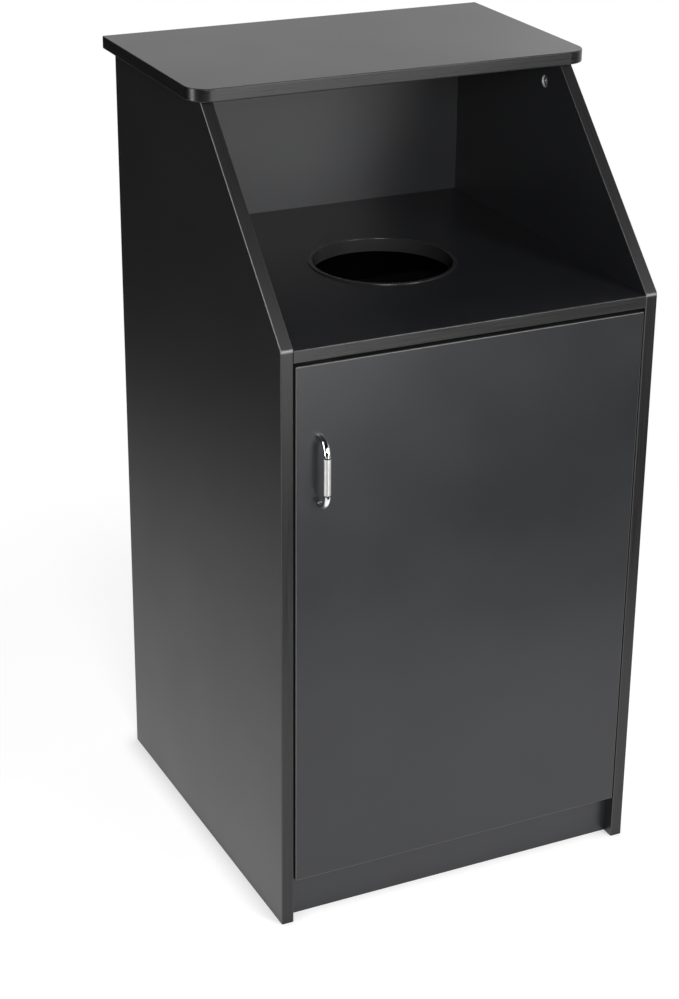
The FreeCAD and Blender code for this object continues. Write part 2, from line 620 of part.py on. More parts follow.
def bin_outline(z, outset):
    """The rim's outline, moved outwards, at a height."""
    return rounded_rectangle(BIN_HALF_WIDTH + outset, BIN_HALF_DEPTH + outset, BIN_CORNER_RADIUS + outset, z)


def bin_tub(low, inset):
    """Solid of the bin's outside or inside, from its floor up to the rim, with a rounded bottom edge."""
    narrowing = BIN_TAPER * (BIN_RIM - low) / (BIN_RIM - FLOOR_HEIGHT) + inset
    radius = BIN_CORNER_RADIUS - inset
    foot = rounded_rectangle(BIN_HALF_WIDTH - narrowing, BIN_HALF_DEPTH - narrowing, radius, low)
    tub = Part.makeLoft([foot, bin_outline(BIN_RIM, -inset)], True, True)
    bottom_edges = edges_where(tub, lambda b: b.ZMax < low + NEAR)
    return tub.makeFillet(BIN_BASE_ROUND - inset, bottom_edges)


def liner_bin():
    """Tapered bin with a floor and a turned-down lip, standing on the bottom panel."""
    outside = bin_tub(FLOOR_HEIGHT, 0)
    inside = bin_tub(FLOOR_HEIGHT + BIN_WALL, BIN_WALL)
    lip_low = BIN_RIM - BIN_LIP_HEIGHT
    lip = Part.Face(bin_outline(lip_low, BIN_LIP_WIDTH)).extrude(Z_AXIS * BIN_LIP_HEIGHT)
    crest = edges_where(lip, lambda b: b.ZMin > BIN_RIM - NEAR)
    lip = lip.makeFillet(BIN_LIP_ROUND, crest)
    under = Part.Face(bin_outline(lip_low, BIN_LIP_WIDTH - BIN_WALL))
    hollow = under.extrude(Z_AXIS * (BIN_LIP_HEIGHT - BIN_WALL))
    return outside.fuse(lip.cut(hollow)).cut(inside).removeSplitter()


def build():
    """Every piece of the cabinet by node name; a group of like pieces is a list of solids."""
    boards = Boards()
    bands = {}
    for name, x0 in (("side_left", -SIDE_OUTER), ("side_right", SIDE_INNER)):
        core, bands[name] = side_panel(x0)
        boards.add(name, core)
    for make in (top_panel, deck_panel, door_panel):
        core, bands[make.__name__] = make()
        boards.add(make.__name__, core)
    half = SIDE_INNER
    boards.add("back_panel", box(-half, half, BACK_INNER, BACK, 0, TOP_UNDERSIDE))
    boards.add("bottom_panel", box(-half, half, KICK_BACK, BACK_INNER, FLOOR_UNDERSIDE, FLOOR_HEIGHT))
    boards.add("toe_kick", box(-half, half, KICK_FRONT, KICK_BACK, 0, FLOOR_HEIGHT))
    join_boards(boards)

    nodes = hinges(boards)
    nodes["handle_screws"] = [handle_screw(boards, z) for z in (HANDLE_TOP, HANDLE_FOOT)]
    nodes.update(catch(boards))
    nodes["handle_ends"] = [handle_end(HANDLE_TOP, 1), handle_end(HANDLE_FOOT, -1)]
    nodes["handle_grip"] = [handle_grip()]
    nodes["waste_ring"] = [waste_ring()]
    nodes["liner_bin"] = [liner_bin()]
    nodes["cam_locks"] = boards.cams
    nodes["cam_bolts"] = boards.bolts
    nodes["dowels"] = boards.dowels
    for name in boards.solids:
        nodes[name] = [boards.drilled(name)]
    for name, band in bands.items():
        nodes[name.replace("_panel", "") + "_edge_band"] = [band]
    return nodes


def main():
    os.makedirs("parts", exist_ok=True)
    for name, solids in build().items():
        shape = solids[0] if len(solids) == 1 else Part.makeCompound(solids)
        shape.exportStep(os.path.join("parts", name + ".step"))
        print(f"{name}: {len(shape.Solids)} solids, {shape.Volume / 1000:.1f} cm3, valid {shape.isValid()}")
    pivot = (round(PIVOT_X, 3), round(PIVOT_Y, 3))
    print("door pivot", pivot, "door leaf", round(DOOR_LOW, 3), "to", round(DOOR_HIGH, 3))


main()
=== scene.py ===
# %% [markdown]
# # A black laminate trash can cabinet
# The cabinet is a carcass of laminated boards: two sides with slanted shoulders, a tray top, a deck
# with a round waste hole, and an inset door on concealed hinges. The solids come from the imported CAD
# model, at their real size, so this lesson is about finishes, small fittings and studio light.
# We load the frame first.

# %% Load the frame
import math

import bmesh
import bpy
from mathutils import Euler, Matrix, Vector


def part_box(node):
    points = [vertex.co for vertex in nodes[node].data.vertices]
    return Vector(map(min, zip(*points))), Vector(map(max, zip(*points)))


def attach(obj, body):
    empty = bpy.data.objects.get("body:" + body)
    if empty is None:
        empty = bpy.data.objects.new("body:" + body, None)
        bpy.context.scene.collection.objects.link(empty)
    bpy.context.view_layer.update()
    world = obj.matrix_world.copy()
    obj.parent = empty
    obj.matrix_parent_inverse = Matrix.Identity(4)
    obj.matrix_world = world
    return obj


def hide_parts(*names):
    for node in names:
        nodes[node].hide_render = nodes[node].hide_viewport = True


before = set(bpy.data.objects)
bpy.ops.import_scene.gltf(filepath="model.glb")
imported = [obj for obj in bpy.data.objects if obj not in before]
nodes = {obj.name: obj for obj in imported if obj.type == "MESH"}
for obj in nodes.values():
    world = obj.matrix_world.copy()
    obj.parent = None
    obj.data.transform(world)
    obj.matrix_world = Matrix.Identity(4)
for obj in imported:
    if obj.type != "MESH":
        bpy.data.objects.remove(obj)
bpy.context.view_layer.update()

# %% [markdown]
# ## The camera
# The photograph looks down on the front left corner with a long lens from about three metres. We could
# drag a camera about by eye, but a box this straight shows every error of angle. So the place, the turn
# and the lens below were fitted to the cabinet's own edges. The picture's centre lies a little to the
# left of where the lens points, so the sensor is shifted slightly.

# %% Camera
CAMERA_PLACE = (-1.38555, -2.75385, 1.88656)
CAMERA_TURN_DEGREES = (65.7033, -1.0808, -26.7757)
CAMERA_LENS_MM = 82.836
CAMERA_SENSOR_MM = 36
CAMERA_SHIFT = -0.0606

camera_data = bpy.data.cameras.new("studio_camera")
camera_data.lens = CAMERA_LENS_MM
camera_data.sensor_width = CAMERA_SENSOR_MM
camera_data.shift_x = CAMERA_SHIFT
camera = bpy.data.objects.new("studio_camera", camera_data)
camera.location = CAMERA_PLACE
camera.rotation_euler = Euler([math.radians(turn) for turn in CAMERA_TURN_DEGREES])
bpy.context.scene.collection.objects.link(camera)
bpy.context.scene.camera = camera
bpy.context.scene.view_settings.view_transform = "Standard"
looks_along = camera.rotation_euler.to_matrix() @ Vector((0, 0, -1))
print("camera looks along", [round(value, 3) for value in looks_along])

# %% [markdown]
# ## Small helpers for shader nodes
# Every finish is a tree of shader nodes. It could be wired by hand in the Shading workspace, but then
# nobody can read how it was made. One helper adds a node, sets its properties, and either links an
# input or writes its value. A second one starts a material with a Principled shader.

# %% Node helpers
def add(tree, kind, inputs=None, **properties):
    made = tree.nodes.new(kind)
    for name, value in properties.items():
        setattr(made, name, value)
    for name, value in (inputs or {}).items():
        if isinstance(value, bpy.types.NodeSocket):
            tree.links.new(value, made.inputs[name])
        else:
            made.inputs[name].default_value = value
    return made


def new_finish(name, **plain):
    """A material with its shader, and the values that are the same all over the surface."""
    finish = bpy.data.materials.new(name)
    finish.use_nodes = True
    shader = finish.node_tree.nodes["Principled BSDF"]
    for socket, value in plain.items():
        shader.inputs[socket.replace("_", " ")].default_value = value
    return finish, finish.node_tree, shader


def grey(value):
    return (value, value, value, 1.0)

# %% [markdown]
# ## Places and masks
# Most effects come down to the same few steps: where a point lies on its object, a mask that rises from 0
# to 1 between two values, a number that follows a mask, and plain arithmetic. Each could be added as a
# single node every time, but as small functions they read like a sentence. CAD nodes sit at the origin, so
# object coordinates are the cabinet's own metres.

# %% Place and mask helpers
def place_on(tree):
    return add(tree, "ShaderNodeTexCoord").outputs["Object"]


def parts_of(tree, vector):
    """The X, Y and Z of a vector, each as a number."""
    return add(tree, "ShaderNodeSeparateXYZ", {0: vector}).outputs


def reckon(tree, operation, first, second):
    return add(tree, "ShaderNodeMath", {0: first, 1: second}, operation=operation).outputs[0]


def share_along(tree, vector, direction):
    """How much of a vector lies along a direction."""
    product = add(tree, "ShaderNodeVectorMath", {0: vector, 1: direction}, operation="DOT_PRODUCT")
    return product.outputs["Value"]


def mask_between(tree, value, zero_at, one_at):
    """0 where the value is zero_at, 1 where it is one_at, an even run between them, level beyond."""
    made = add(tree, "ShaderNodeMapRange", {"Value": value, "From Min": zero_at, "From Max": one_at})
    return made.outputs["Result"]


def follow(tree, mask, low, high):
    """A number that runs from low to high as the mask runs from 0 to 1."""
    made = add(tree, "ShaderNodeMapRange", {"Value": mask, "To Min": low, "To Max": high})
    return made.outputs["Result"]

# %% [markdown]
# ## Three ways to drive a shader
# A mask that runs from 0 to 1 over the surface can change three things: the roughness, the colour, and
# the height that a bump node turns into small slopes. Each gets a helper, because every finish below
# uses all three. The mask always goes into the shader's own socket, so an export can follow it.

# %% Drive roughness, colour and bump
def vary_roughness(tree, shader, mask, smooth, rough):
    tree.links.new(follow(tree, mask, smooth, rough), shader.inputs["Roughness"])


def blend(tree, mask, first, second):
    """A colour that runs from the first to the second as the mask runs from 0 to 1."""
    mixed = add(tree, "ShaderNodeMix", {"Factor": mask, "A": first, "B": second}, data_type="RGBA")
    return mixed.outputs["Result"]


def vary_colour(tree, shader, mask, first, second):
    tree.links.new(blend(tree, mask, first, second), shader.inputs["Base Color"])


def raise_surface(tree, shader, height, strength, distance):
    raised = add(tree, "ShaderNodeBump", {"Height": height, "Strength": strength, "Distance": distance})
    tree.links.new(raised.outputs["Normal"], shader.inputs["Normal"])

# %% [markdown]
# ## Node groups for shared effects
# Pebbles, streaks and smudges turn up in many finishes. A node group holds such an effect once, with
# named inputs for its sizes, and each material places it with values of its own. Groups here only put
# out masks and heights that change over the surface.

# %% Group helpers
def new_effect(name, inputs, outputs):
    """A node group with number inputs (name: default) and number outputs."""
    tree = bpy.data.node_groups.new(name, "ShaderNodeTree")
    for socket, default in inputs.items():
        made = tree.interface.new_socket(socket, in_out="INPUT", socket_type="NodeSocketFloat")
        made.default_value = default
    for socket in outputs:
        tree.interface.new_socket(socket, in_out="OUTPUT", socket_type="NodeSocketFloat")
    return tree, tree.nodes.new("NodeGroupInput"), tree.nodes.new("NodeGroupOutput")


def use_effect(tree, effect, **inputs):
    placed = add(tree, "ShaderNodeGroup", node_tree=effect)
    for socket, value in inputs.items():
        placed.inputs[socket.replace("_", " ")].default_value = value
    return placed.outputs


def per_metre(tree, size):
    """How many of a size given in metres fit into one metre, which is what a texture's Scale wants."""
    return reckon(tree, "DIVIDE", 1.0, size)


def vector_input(tree, start, label):
    """The three inputs of a group that share a label, put together as one vector."""
    made = add(tree, "ShaderNodeCombineXYZ", {axis: start.outputs[f"{label} {axis}"] for axis in "XYZ"})
    return made.outputs[0]

# %% [markdown]
# ## Effect: pebbled skin
# Laminate and moulded plastic have a fine pebbled skin, pressed in by the plate or the mould. We could
# displace the mesh, but the pebbles are under a millimetre wide, so a Voronoi texture that feeds a bump
# is enough. The group takes the pebble size in metres. Broad clouds come with it, because no large panel
# is perfectly even.

# %% Pebbled skin
PEBBLE_DEPTH = 0.0002
CLOUD_RANGE = (0.3, 0.7)


def pebbled_skin():
    tree, start, end = new_effect("pebbled_skin", {"Pebble Size": 0.0004, "Cloud Size": 0.08},
                                  ("Height", "Clouds"))
    place = place_on(tree)
    pebbles = add(tree, "ShaderNodeTexVoronoi", feature="SMOOTH_F1", inputs={
        "Vector": place, "Scale": per_metre(tree, start.outputs["Pebble Size"])})
    clouds = add(tree, "ShaderNodeTexNoise", {
        "Vector": place, "Scale": per_metre(tree, start.outputs["Cloud Size"]), "Detail": 4.0})
    tree.links.new(pebbles.outputs["Distance"], end.inputs["Height"])
    tree.links.new(mask_between(tree, clouds.outputs["Fac"], *CLOUD_RANGE), end.inputs["Clouds"])
    return tree


PEBBLED_SKIN = pebbled_skin()
print(PEBBLED_SKIN.name, "has", len(PEBBLED_SKIN.nodes), "nodes")

# %% [markdown]
# ## Effect: lengthwise streaks
# Edging strip is extruded, drawn metal is pulled through a die, and turned metal is cut line by line:
# all three carry fine streaks along one direction. Noise that is stretched along the streak and squeezed
# across it does this. The three inputs say how fast the noise changes, per metre, along each axis: a low
# number lies along the streaks, a high one across them.

# %% Lengthwise streaks
STREAK_RANGE = (0.35, 0.7)


def lengthwise_streaks():
    tree, start, end = new_effect("lengthwise_streaks", {"Along X": 6.0, "Along Y": 6.0, "Along Z": 6.0},
                                  ("Height", "Shade"))
    rates = vector_input(tree, start, "Along")
    squeezed = add(tree, "ShaderNodeVectorMath", {0: place_on(tree), 1: rates}, operation="MULTIPLY")
    streaks = add(tree, "ShaderNodeTexNoise", {
        "Vector": squeezed.outputs[0], "Scale": 1.0, "Detail": 3.0}).outputs["Fac"]
    tree.links.new(streaks, end.inputs["Height"])
    tree.links.new(mask_between(tree, streaks, *STREAK_RANGE), end.inputs["Shade"])
    return tree


LENGTHWISE_STREAKS = lengthwise_streaks()
print(LENGTHWISE_STREAKS.name, "has", len(LENGTHWISE_STREAKS.nodes), "nodes")

# %% [markdown]
# ## Effect: handling smudges
# A glossy or plated surface that people touch carries faint smudges, which only show in its sheen. A
# painted picture of fingerprints would repeat; two noises of different size multiplied together make
# soft uneven patches that never do.

# %% Handling smudges
PATCH_RANGE = (0.45, 0.7)


def handling_smudges():
    tree, start, end = new_effect("handling_smudges", {"Patch Size": 0.03, "Smear Size": 0.006},
                                  ("Smudge",))
    place = place_on(tree)
    patches = add(tree, "ShaderNodeTexNoise", {
        "Vector": place, "Scale": per_metre(tree, start.outputs["Patch Size"]), "Detail": 2.0})
    smears = add(tree, "ShaderNodeTexNoise", {
        "Vector": place, "Scale": per_metre(tree, start.outputs["Smear Size"]), "Detail": 5.0,
        "Distortion": 0.6})
    where = mask_between(tree, patches.outputs["Fac"], *PATCH_RANGE)
    tree.links.new(reckon(tree, "MULTIPLY", where, smears.outputs["Fac"]), end.inputs["Smudge"])
    return tree


HANDLING_SMUDGES = handling_smudges()
print(HANDLING_SMUDGES.name, "has", len(HANDLING_SMUDGES.nodes), "nodes")

# %% [markdown]
# ## Effect: arris highlight
# The rounded arrises of a strip carry a painted highlight, a pale line where a lamp would glint. Edges
# are often found with the Pointiness of a dense mesh, but these strips are CAD faces with few points. Their
# normals know more: on a flat face the normal lies along or square to the strip's width, and only on the
# arris it lies between. With c the share of the normal across the strip, c c (1 - c c) is 0 on the flats
# and largest, a quarter, in the middle of the arris. The normal comes from Texture Coordinate, so it turns
# with the door.

# %% Arris highlight
ARRIS_RANGE = (0.02, 0.2)


def arris_highlight():
    tree, start, end = new_effect("arris_highlight", {"Across X": 0.0, "Across Y": 0.0, "Across Z": 1.0},
                                  ("Highlight",))
    normal = add(tree, "ShaderNodeTexCoord").outputs["Normal"]
    share = share_along(tree, normal, vector_input(tree, start, "Across"))
    squared = reckon(tree, "MULTIPLY", share, share)
    between = reckon(tree, "MULTIPLY", squared, reckon(tree, "SUBTRACT", 1.0, squared))
    tree.links.new(mask_between(tree, between, *ARRIS_RANGE), end.inputs["Highlight"])
    return tree


ARRIS_HIGHLIGHT = arris_highlight()
print(ARRIS_HIGHLIGHT.name, "has", len(ARRIS_HIGHLIGHT.nodes), "nodes")

# %% [markdown]
# ## Finish: black satin laminate
# The boards are faced with black melamine. Its colour is almost all in the sheen: the black itself
# returns two percent of the light, and the satin surface mirrors the pale studio softly. A black
# diffuse with a glossy coat would do it too, but melamine is one layer, so the Principled shader's own
# reflection is used. Clouds in the roughness keep the large panels from looking printed. The tray top is
# wiped all day, so its sheen is a little weaker and broader than that of the upright boards.

# %% Laminate finish
BLACK_DEEP = (0.0149, 0.0155, 0.0175, 1)
BLACK_PALE = (0.0174, 0.0182, 0.0205, 1)
BOARD_BUMP = 0.12


def board_skin(tree, shader):
    """Press the pebbles into a board's face, and give the clouds for its other looks."""
    skin = use_effect(tree, PEBBLED_SKIN, Pebble_Size=0.0005, Cloud_Size=0.12)
    raise_surface(tree, shader, skin["Height"], BOARD_BUMP, PEBBLE_DEPTH)
    return skin["Clouds"]


def black_laminate(name, ior, sheen):
    finish, tree, shader = new_finish(name, IOR=ior)
    clouds = board_skin(tree, shader)
    vary_roughness(tree, shader, clouds, *sheen)
    vary_colour(tree, shader, clouds, BLACK_DEEP, BLACK_PALE)
    return finish


LAMINATE = black_laminate("black_laminate", ior=1.5, sheen=(0.29, 0.33))
TOP_LAMINATE = black_laminate("top_laminate", ior=1.42, sheen=(0.36, 0.38))
print("laminates:", LAMINATE.name, TOP_LAMINATE.name)

# %% [markdown]
# ## Finish: the back board
# The back board is a plainer grade with a duller, broader sheen: in the photograph its bright left half
# fades evenly from top to bottom. Below the deck its inner face is smooth, and its colour there is painted
# almost black, a painted shade that keeps the look through the waste hole dark. Two materials on one mesh
# would need the faces split, but the place tells enough: a mask that is 1 above the deck's underside, and
# on the outer face all over, blends both sheens and both tones.

# %% Back board finish
DECK_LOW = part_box("deck_panel")[0][2]
DECK_FADE = 0.01
BACK_LOW, BACK_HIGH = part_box("back_panel")
BACK_MIDDLE = (BACK_LOW[1] + BACK_HIGH[1]) / 2
BACK_SHEEN = (0.2, 0.48)
# Painted shade: the near-black of the inner face below the deck.
PAINTED_SHADE_BLACK = grey(0.003)


def back_board():
    finish, tree, shader = new_finish("back_laminate", IOR=1.6)
    clouds = board_skin(tree, shader)
    place = parts_of(tree, place_on(tree))
    above = mask_between(tree, place["Z"], DECK_LOW - DECK_FADE, DECK_LOW)
    behind = mask_between(tree, place["Y"], BACK_LOW[1], BACK_MIDDLE)
    # 1 where the board keeps its own black, 0 on the inner face below the deck, which takes the painted
    # shade.
    lit_mask = reckon(tree, "MAXIMUM", above, behind)
    vary_roughness(tree, shader, lit_mask, *BACK_SHEEN)
    lit_black = blend(tree, clouds, BLACK_DEEP, BLACK_PALE)
    vary_colour(tree, shader, lit_mask, PAINTED_SHADE_BLACK, lit_black)
    return finish


BACK_LAMINATE = back_board()
print(BACK_LAMINATE.name, "is smooth inside below", round(DECK_LOW, 4))

# %% [markdown]
# ## Finish: edging strip
# The front edges are covered with an extruded strip with fine streaks along its length, and its arrises
# carry a painted highlight. One material could not know which way each strip runs, so one function makes
# several: the width of a strip lies across X on the sides, across Z on the top and the deck, and across Y
# round the door. It leaves the colour open, because the strips of the sides take painted light of their own.

# %% Edging finish
ALONG_STRIP = 7.0
ACROSS_STRIP = 900.0
STREAK_DARK = 0.5
STREAK_DEPTH = 0.0002
STRIP_BUMP = 0.16
STRIP_SHEEN = (0.27, 0.36)


def plain_strip(name, width_axis):
    """A streaked strip whose colour is still open, with its masks of streaks and of the arrises' painted
    highlight.
    """
    finish, tree, shader = new_finish(name, IOR=1.45)
    rates = {"Along_" + axis: ACROSS_STRIP if axis == width_axis else ALONG_STRIP for axis in "XYZ"}
    streaks = use_effect(tree, LENGTHWISE_STREAKS, **rates)
    across = {"Across_" + axis: float(axis == width_axis) for axis in "XYZ"}
    arris = use_effect(tree, ARRIS_HIGHLIGHT, **across)["Highlight"]
    vary_roughness(tree, shader, streaks["Shade"], *STRIP_SHEEN)
    raise_surface(tree, shader, streaks["Height"], STRIP_BUMP, STREAK_DEPTH)
    return finish, tree, shader, streaks["Shade"], arris


def edging_strip(name, width_axis, pale, highlight_grey):
    finish, tree, shader, streaks, arris = plain_strip(name, width_axis)
    face = blend(tree, streaks, grey(pale * STREAK_DARK), grey(pale))
    # The arrises take the grey of the painted highlight over the face.
    vary_colour(tree, shader, arris, face, grey(highlight_grey))
    return finish


# Painted light and shade: the face greys differ from strip to strip after how each is lit, darkest on the
# top and palest on the door. Each arris grey above its face is a painted highlight.
TOP_STRIP = edging_strip("top_edging", "Z", pale=0.008, highlight_grey=0.03)
DECK_STRIP = edging_strip("deck_edging", "Z", pale=0.02, highlight_grey=0.02)
DOOR_STRIP = edging_strip("door_edging", "Y", pale=0.028, highlight_grey=0.12)
print("edging:", TOP_STRIP.name, DECK_STRIP.name, DOOR_STRIP.name)

# %% [markdown]
# ## Finish: the strips of the sides
# On the sides, light is painted onto the strips. The slant's upward face is painted paler towards the
# shoulder, and the shoulder itself carries a painted highlight line. So do the arrises that face left, the
# left slant's most of all, while the upright fronts stay almost black. Painting this by hand would need UV
# maps. Here the place does it: the height tells slant from front, the sign of X tells the left side from
# the right, and the normal tells which arris it is. First come the masks that need only the height.

# %% Masks for the strips of the sides
DECK_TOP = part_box("deck_panel")[1][2]
SLANT_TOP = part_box("side_left_edge_band")[1][2]
SHOULDER_REACH = 0.003
# How the painted light on the slant grows towards the shoulder.
SLANT_LIGHT_POWER = 3.0
SLANT_LIGHT_LEAST = 0.22


# The shoulder's painted highlight line.
def shoulder_highlight(tree, height):
    """1 on the shoulder of a side, which stands just above the deck, and 0 a little away from it."""
    away = reckon(tree, "SUBTRACT", height, DECK_TOP)
    distance = add(tree, "ShaderNodeMath", {0: away}, operation="ABSOLUTE").outputs[0]
    return mask_between(tree, distance, SHOULDER_REACH, 0.0)


def slant_light(tree, height):
    """How much painted light the face of the slant gets: a little all over, and more and more downwards."""
    low = mask_between(tree, height, SLANT_TOP, DECK_TOP)
    return follow(tree, reckon(tree, "POWER", low, SLANT_LIGHT_POWER), SLANT_LIGHT_LEAST, 1.0)


print("the slant runs from", round(DECK_TOP, 4), "to", round(SLANT_TOP, 4))

# %% [markdown]
# The finish itself starts from the plain strip. The face turns from the front's black to the slant's
# painted paler tone, and the painted highlight lines are laid over it.

# %% Side edging finish
FRONT_PALE = 0.015
# The slant's paler grey is painted light.
SLANT_PALE = 0.048
# Grey of the painted highlight lines.
SIDE_HIGHLIGHT_GREY = 0.22
FAINT_LINE = 0.22
TURNED_LEFT = -0.2
MIDDLE_BAND = 0.1


def side_edging():
    finish, tree, shader, streaks, arris = plain_strip("side_edging", "X")
    surface = add(tree, "ShaderNodeTexCoord").outputs
    place = parts_of(tree, surface["Object"])
    facing = parts_of(tree, surface["Normal"])
    faces_left = mask_between(tree, facing["X"], 0.0, TURNED_LEFT)
    left_side = mask_between(tree, place["X"], MIDDLE_BAND, -MIDDLE_BAND)
    slant = mask_between(tree, place["Z"], DECK_TOP, DECK_TOP + SHOULDER_REACH)
    face = blend(tree, streaks, grey(FRONT_PALE * STREAK_DARK), grey(FRONT_PALE))
    # Painted light: the slant's face grows paler downwards.
    lit_mask = reckon(tree, "MULTIPLY", slant, slant_light(tree, place["Z"]))
    face = blend(tree, lit_mask, face, grey(SLANT_PALE))
    left_slant = follow(tree, reckon(tree, "MULTIPLY", left_side, slant), FAINT_LINE, 1.0)
    # Painted highlights: the left-facing arrises and the shoulder.
    line = reckon(tree, "MULTIPLY", reckon(tree, "MULTIPLY", arris, faces_left), left_slant)
    highlight_lines = reckon(tree, "MAXIMUM", line, shoulder_highlight(tree, place["Z"]))
    vary_colour(tree, shader, highlight_lines, face, grey(SIDE_HIGHLIGHT_GREY))
    return finish


SIDE_STRIP = side_edging()
print(SIDE_STRIP.name, "has", len(SIDE_STRIP.node_tree.nodes), "nodes")

# %% [markdown]
# ## Finish: moulded plastics
# The ring in the waste hole is glossy black and the catch under the deck is satin black. Both are injection
# moulded, so they share one recipe: pebbled skin for the mould's texture, smudges in the sheen where hands
# and waste have rubbed, and two close tones of one colour. A flat black would lose the ring against the
# deck.

# %% Plastic finishes
def moulded_plastic(name, tones, sheen, bump):
    finish, tree, shader = new_finish(name, IOR=1.49)
    skin = use_effect(tree, PEBBLED_SKIN, Pebble_Size=0.0006, Cloud_Size=0.05)
    smudges = use_effect(tree, HANDLING_SMUDGES, Patch_Size=0.05, Smear_Size=0.01)
    vary_roughness(tree, shader, smudges["Smudge"], *sheen)
    vary_colour(tree, shader, skin["Clouds"], *tones)
    raise_surface(tree, shader, skin["Height"], bump, PEBBLE_DEPTH)
    return finish


RING_PLASTIC = moulded_plastic("ring_plastic", (grey(0.02), grey(0.026)), sheen=(0.22, 0.34), bump=0.03)
CATCH_PLASTIC = moulded_plastic("catch_plastic", (grey(0.035), grey(0.05)), sheen=(0.38, 0.55), bump=0.2)
print("plastics:", RING_PLASTIC.name, CATCH_PLASTIC.name)

# %% [markdown]
# ## Finish: the bin
# The bin is moulded in dark grey, but looking down through the ring one sees only black, the shade deep
# inside the bin. The finish paints that shade: where the surface faces the bin's own axis, it is the
# inside, and there the colour is painted almost black. The product of the outward direction and the
# normal tells the two apart.

# %% Bin finish
BIN_LOW, BIN_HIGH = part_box("liner_bin")
BIN_MIDDLE = tuple((low + high) / 2 for low, high in zip(BIN_LOW, BIN_HIGH))
LEVEL_PART = (1, 1, 0)
INSIDE_EDGE = 0.02
# Painted shade: the near-black of the bin's inside.
INSIDE_SHADE_BLACK = grey(0.003)
BIN_TONES = (grey(0.05), grey(0.055))
BIN_SHEEN = (0.5, 0.64)
BIN_BUMP = 0.25


def bin_with_painted_shade():
    finish, tree, shader = new_finish("bin_plastic", Specular_IOR_Level=0.15)
    skin = use_effect(tree, PEBBLED_SKIN, Pebble_Size=0.0009, Cloud_Size=0.05)
    facing = add(tree, "ShaderNodeNewGeometry").outputs["Normal"]
    away = add(tree, "ShaderNodeVectorMath", {0: place_on(tree), 1: BIN_MIDDLE}, operation="SUBTRACT")
    outward = add(tree, "ShaderNodeVectorMath", {0: away.outputs[0], 1: LEVEL_PART}, operation="MULTIPLY")
    outside = mask_between(tree, share_along(tree, outward.outputs[0], facing), 0.0, INSIDE_EDGE)
    vary_roughness(tree, shader, skin["Clouds"], *BIN_SHEEN)
    vary_colour(tree, shader, outside, INSIDE_SHADE_BLACK, blend(tree, skin["Clouds"], *BIN_TONES))
    raise_surface(tree, shader, skin["Height"], BIN_BUMP, PEBBLE_DEPTH)
    return finish


BIN_PLASTIC = bin_with_painted_shade()
print(BIN_PLASTIC.name, "ready, middle at", [round(value, 4) for value in BIN_MIDDLE])

# %% [markdown]
# ## Finish: plated and turned metals
# The bow handle has polished chrome ends, the hinges are nickel plated and the screws zinc plated. A
# metal's look is its roughness, so that is where the work goes: streaks follow the way each piece was made,
# and smudges dull it where it is touched.

# %% Metal finishes
METAL_LINE_DEPTH = 0.00005
NICKEL_TONES = ((0.6, 0.58, 0.55, 1), (0.68, 0.66, 0.62, 1))
STEEL_TONES = ((0.5, 0.5, 0.51, 1), (0.6, 0.6, 0.6, 1))


def worked_metal(name, tones, sheen, along, bump):
    finish, tree, shader = new_finish(name, Metallic=1.0)
    streaks = use_effect(tree, LENGTHWISE_STREAKS, Along_X=along[0], Along_Y=along[1], Along_Z=along[2])
    smudges = use_effect(tree, HANDLING_SMUDGES, Patch_Size=0.02, Smear_Size=0.004)
    vary_roughness(tree, shader, smudges["Smudge"], *sheen)
    vary_colour(tree, shader, streaks["Shade"], *tones)
    raise_surface(tree, shader, streaks["Height"], bump, METAL_LINE_DEPTH)
    return finish


CHROME = worked_metal("handle_chrome", (grey(0.8), grey(0.84)), sheen=(0.05, 0.14), along=(60, 60, 60),
                      bump=0.02)
NICKEL = worked_metal("nickel_steel", NICKEL_TONES, sheen=(0.2, 0.36), along=(300, 300, 60), bump=0.12)
STEEL = worked_metal("fastener_steel", STEEL_TONES, sheen=(0.25, 0.42), along=(700, 700, 700), bump=0.12)
print("metals:", CHROME.name, NICKEL.name, STEEL.name)

# %% [markdown]
# ## Finish: the turned grip
# The grip is the roughest metal here: fine turning lines spread a lamp into one broad pale band. At each
# end it is necked down where it meets the chrome, and the colour is painted nearly black over that
# groove, which reads as a thin dark line in the photograph. The grip stands upright, so the height along
# it is enough to find both grooves.

# %% Grip finish
GROOVE = 0.0014
GROOVE_FADE = 0.0004
GROOVE_BLACK = grey(0.02)
GRIP_TONES = ((0.7, 0.7, 0.68, 1), (0.78, 0.78, 0.76, 1))
GRIP_SHEEN = (0.38, 0.46)
GRIP_BUMP = 0.1


def turned_grip():
    finish, tree, shader = new_finish("handle_satin", Metallic=1.0)
    lines = use_effect(tree, LENGTHWISE_STREAKS, Along_X=20.0, Along_Y=20.0, Along_Z=1500.0)
    height = parts_of(tree, place_on(tree))["Z"]
    low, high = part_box("handle_grip")
    above = mask_between(tree, height, low[2] + GROOVE, low[2] + GROOVE + GROOVE_FADE)
    below = mask_between(tree, height, high[2] - GROOVE, high[2] - GROOVE - GROOVE_FADE)
    # Outside the grooves; over them the colour is painted nearly black.
    outside_grooves = reckon(tree, "MULTIPLY", above, below)
    vary_colour(tree, shader, outside_grooves, GROOVE_BLACK, blend(tree, lines["Shade"], *GRIP_TONES))
    vary_roughness(tree, shader, lines["Shade"], *GRIP_SHEEN)
    raise_surface(tree, shader, lines["Height"], GRIP_BUMP, METAL_LINE_DEPTH)
    return finish


SATIN = turned_grip()
print(SATIN.name, "has", len(SATIN.node_tree.nodes), "nodes")

# %% [markdown]
# ## Finish: cast zinc and ferrite
# The cam locks that pull the boards together are zinc castings with a grainy grey skin, and the catch
# holds a dark ferrite magnet. Both are grains rather than streaks, so the pebbled skin does the work and
# the clouds mottle the colour.

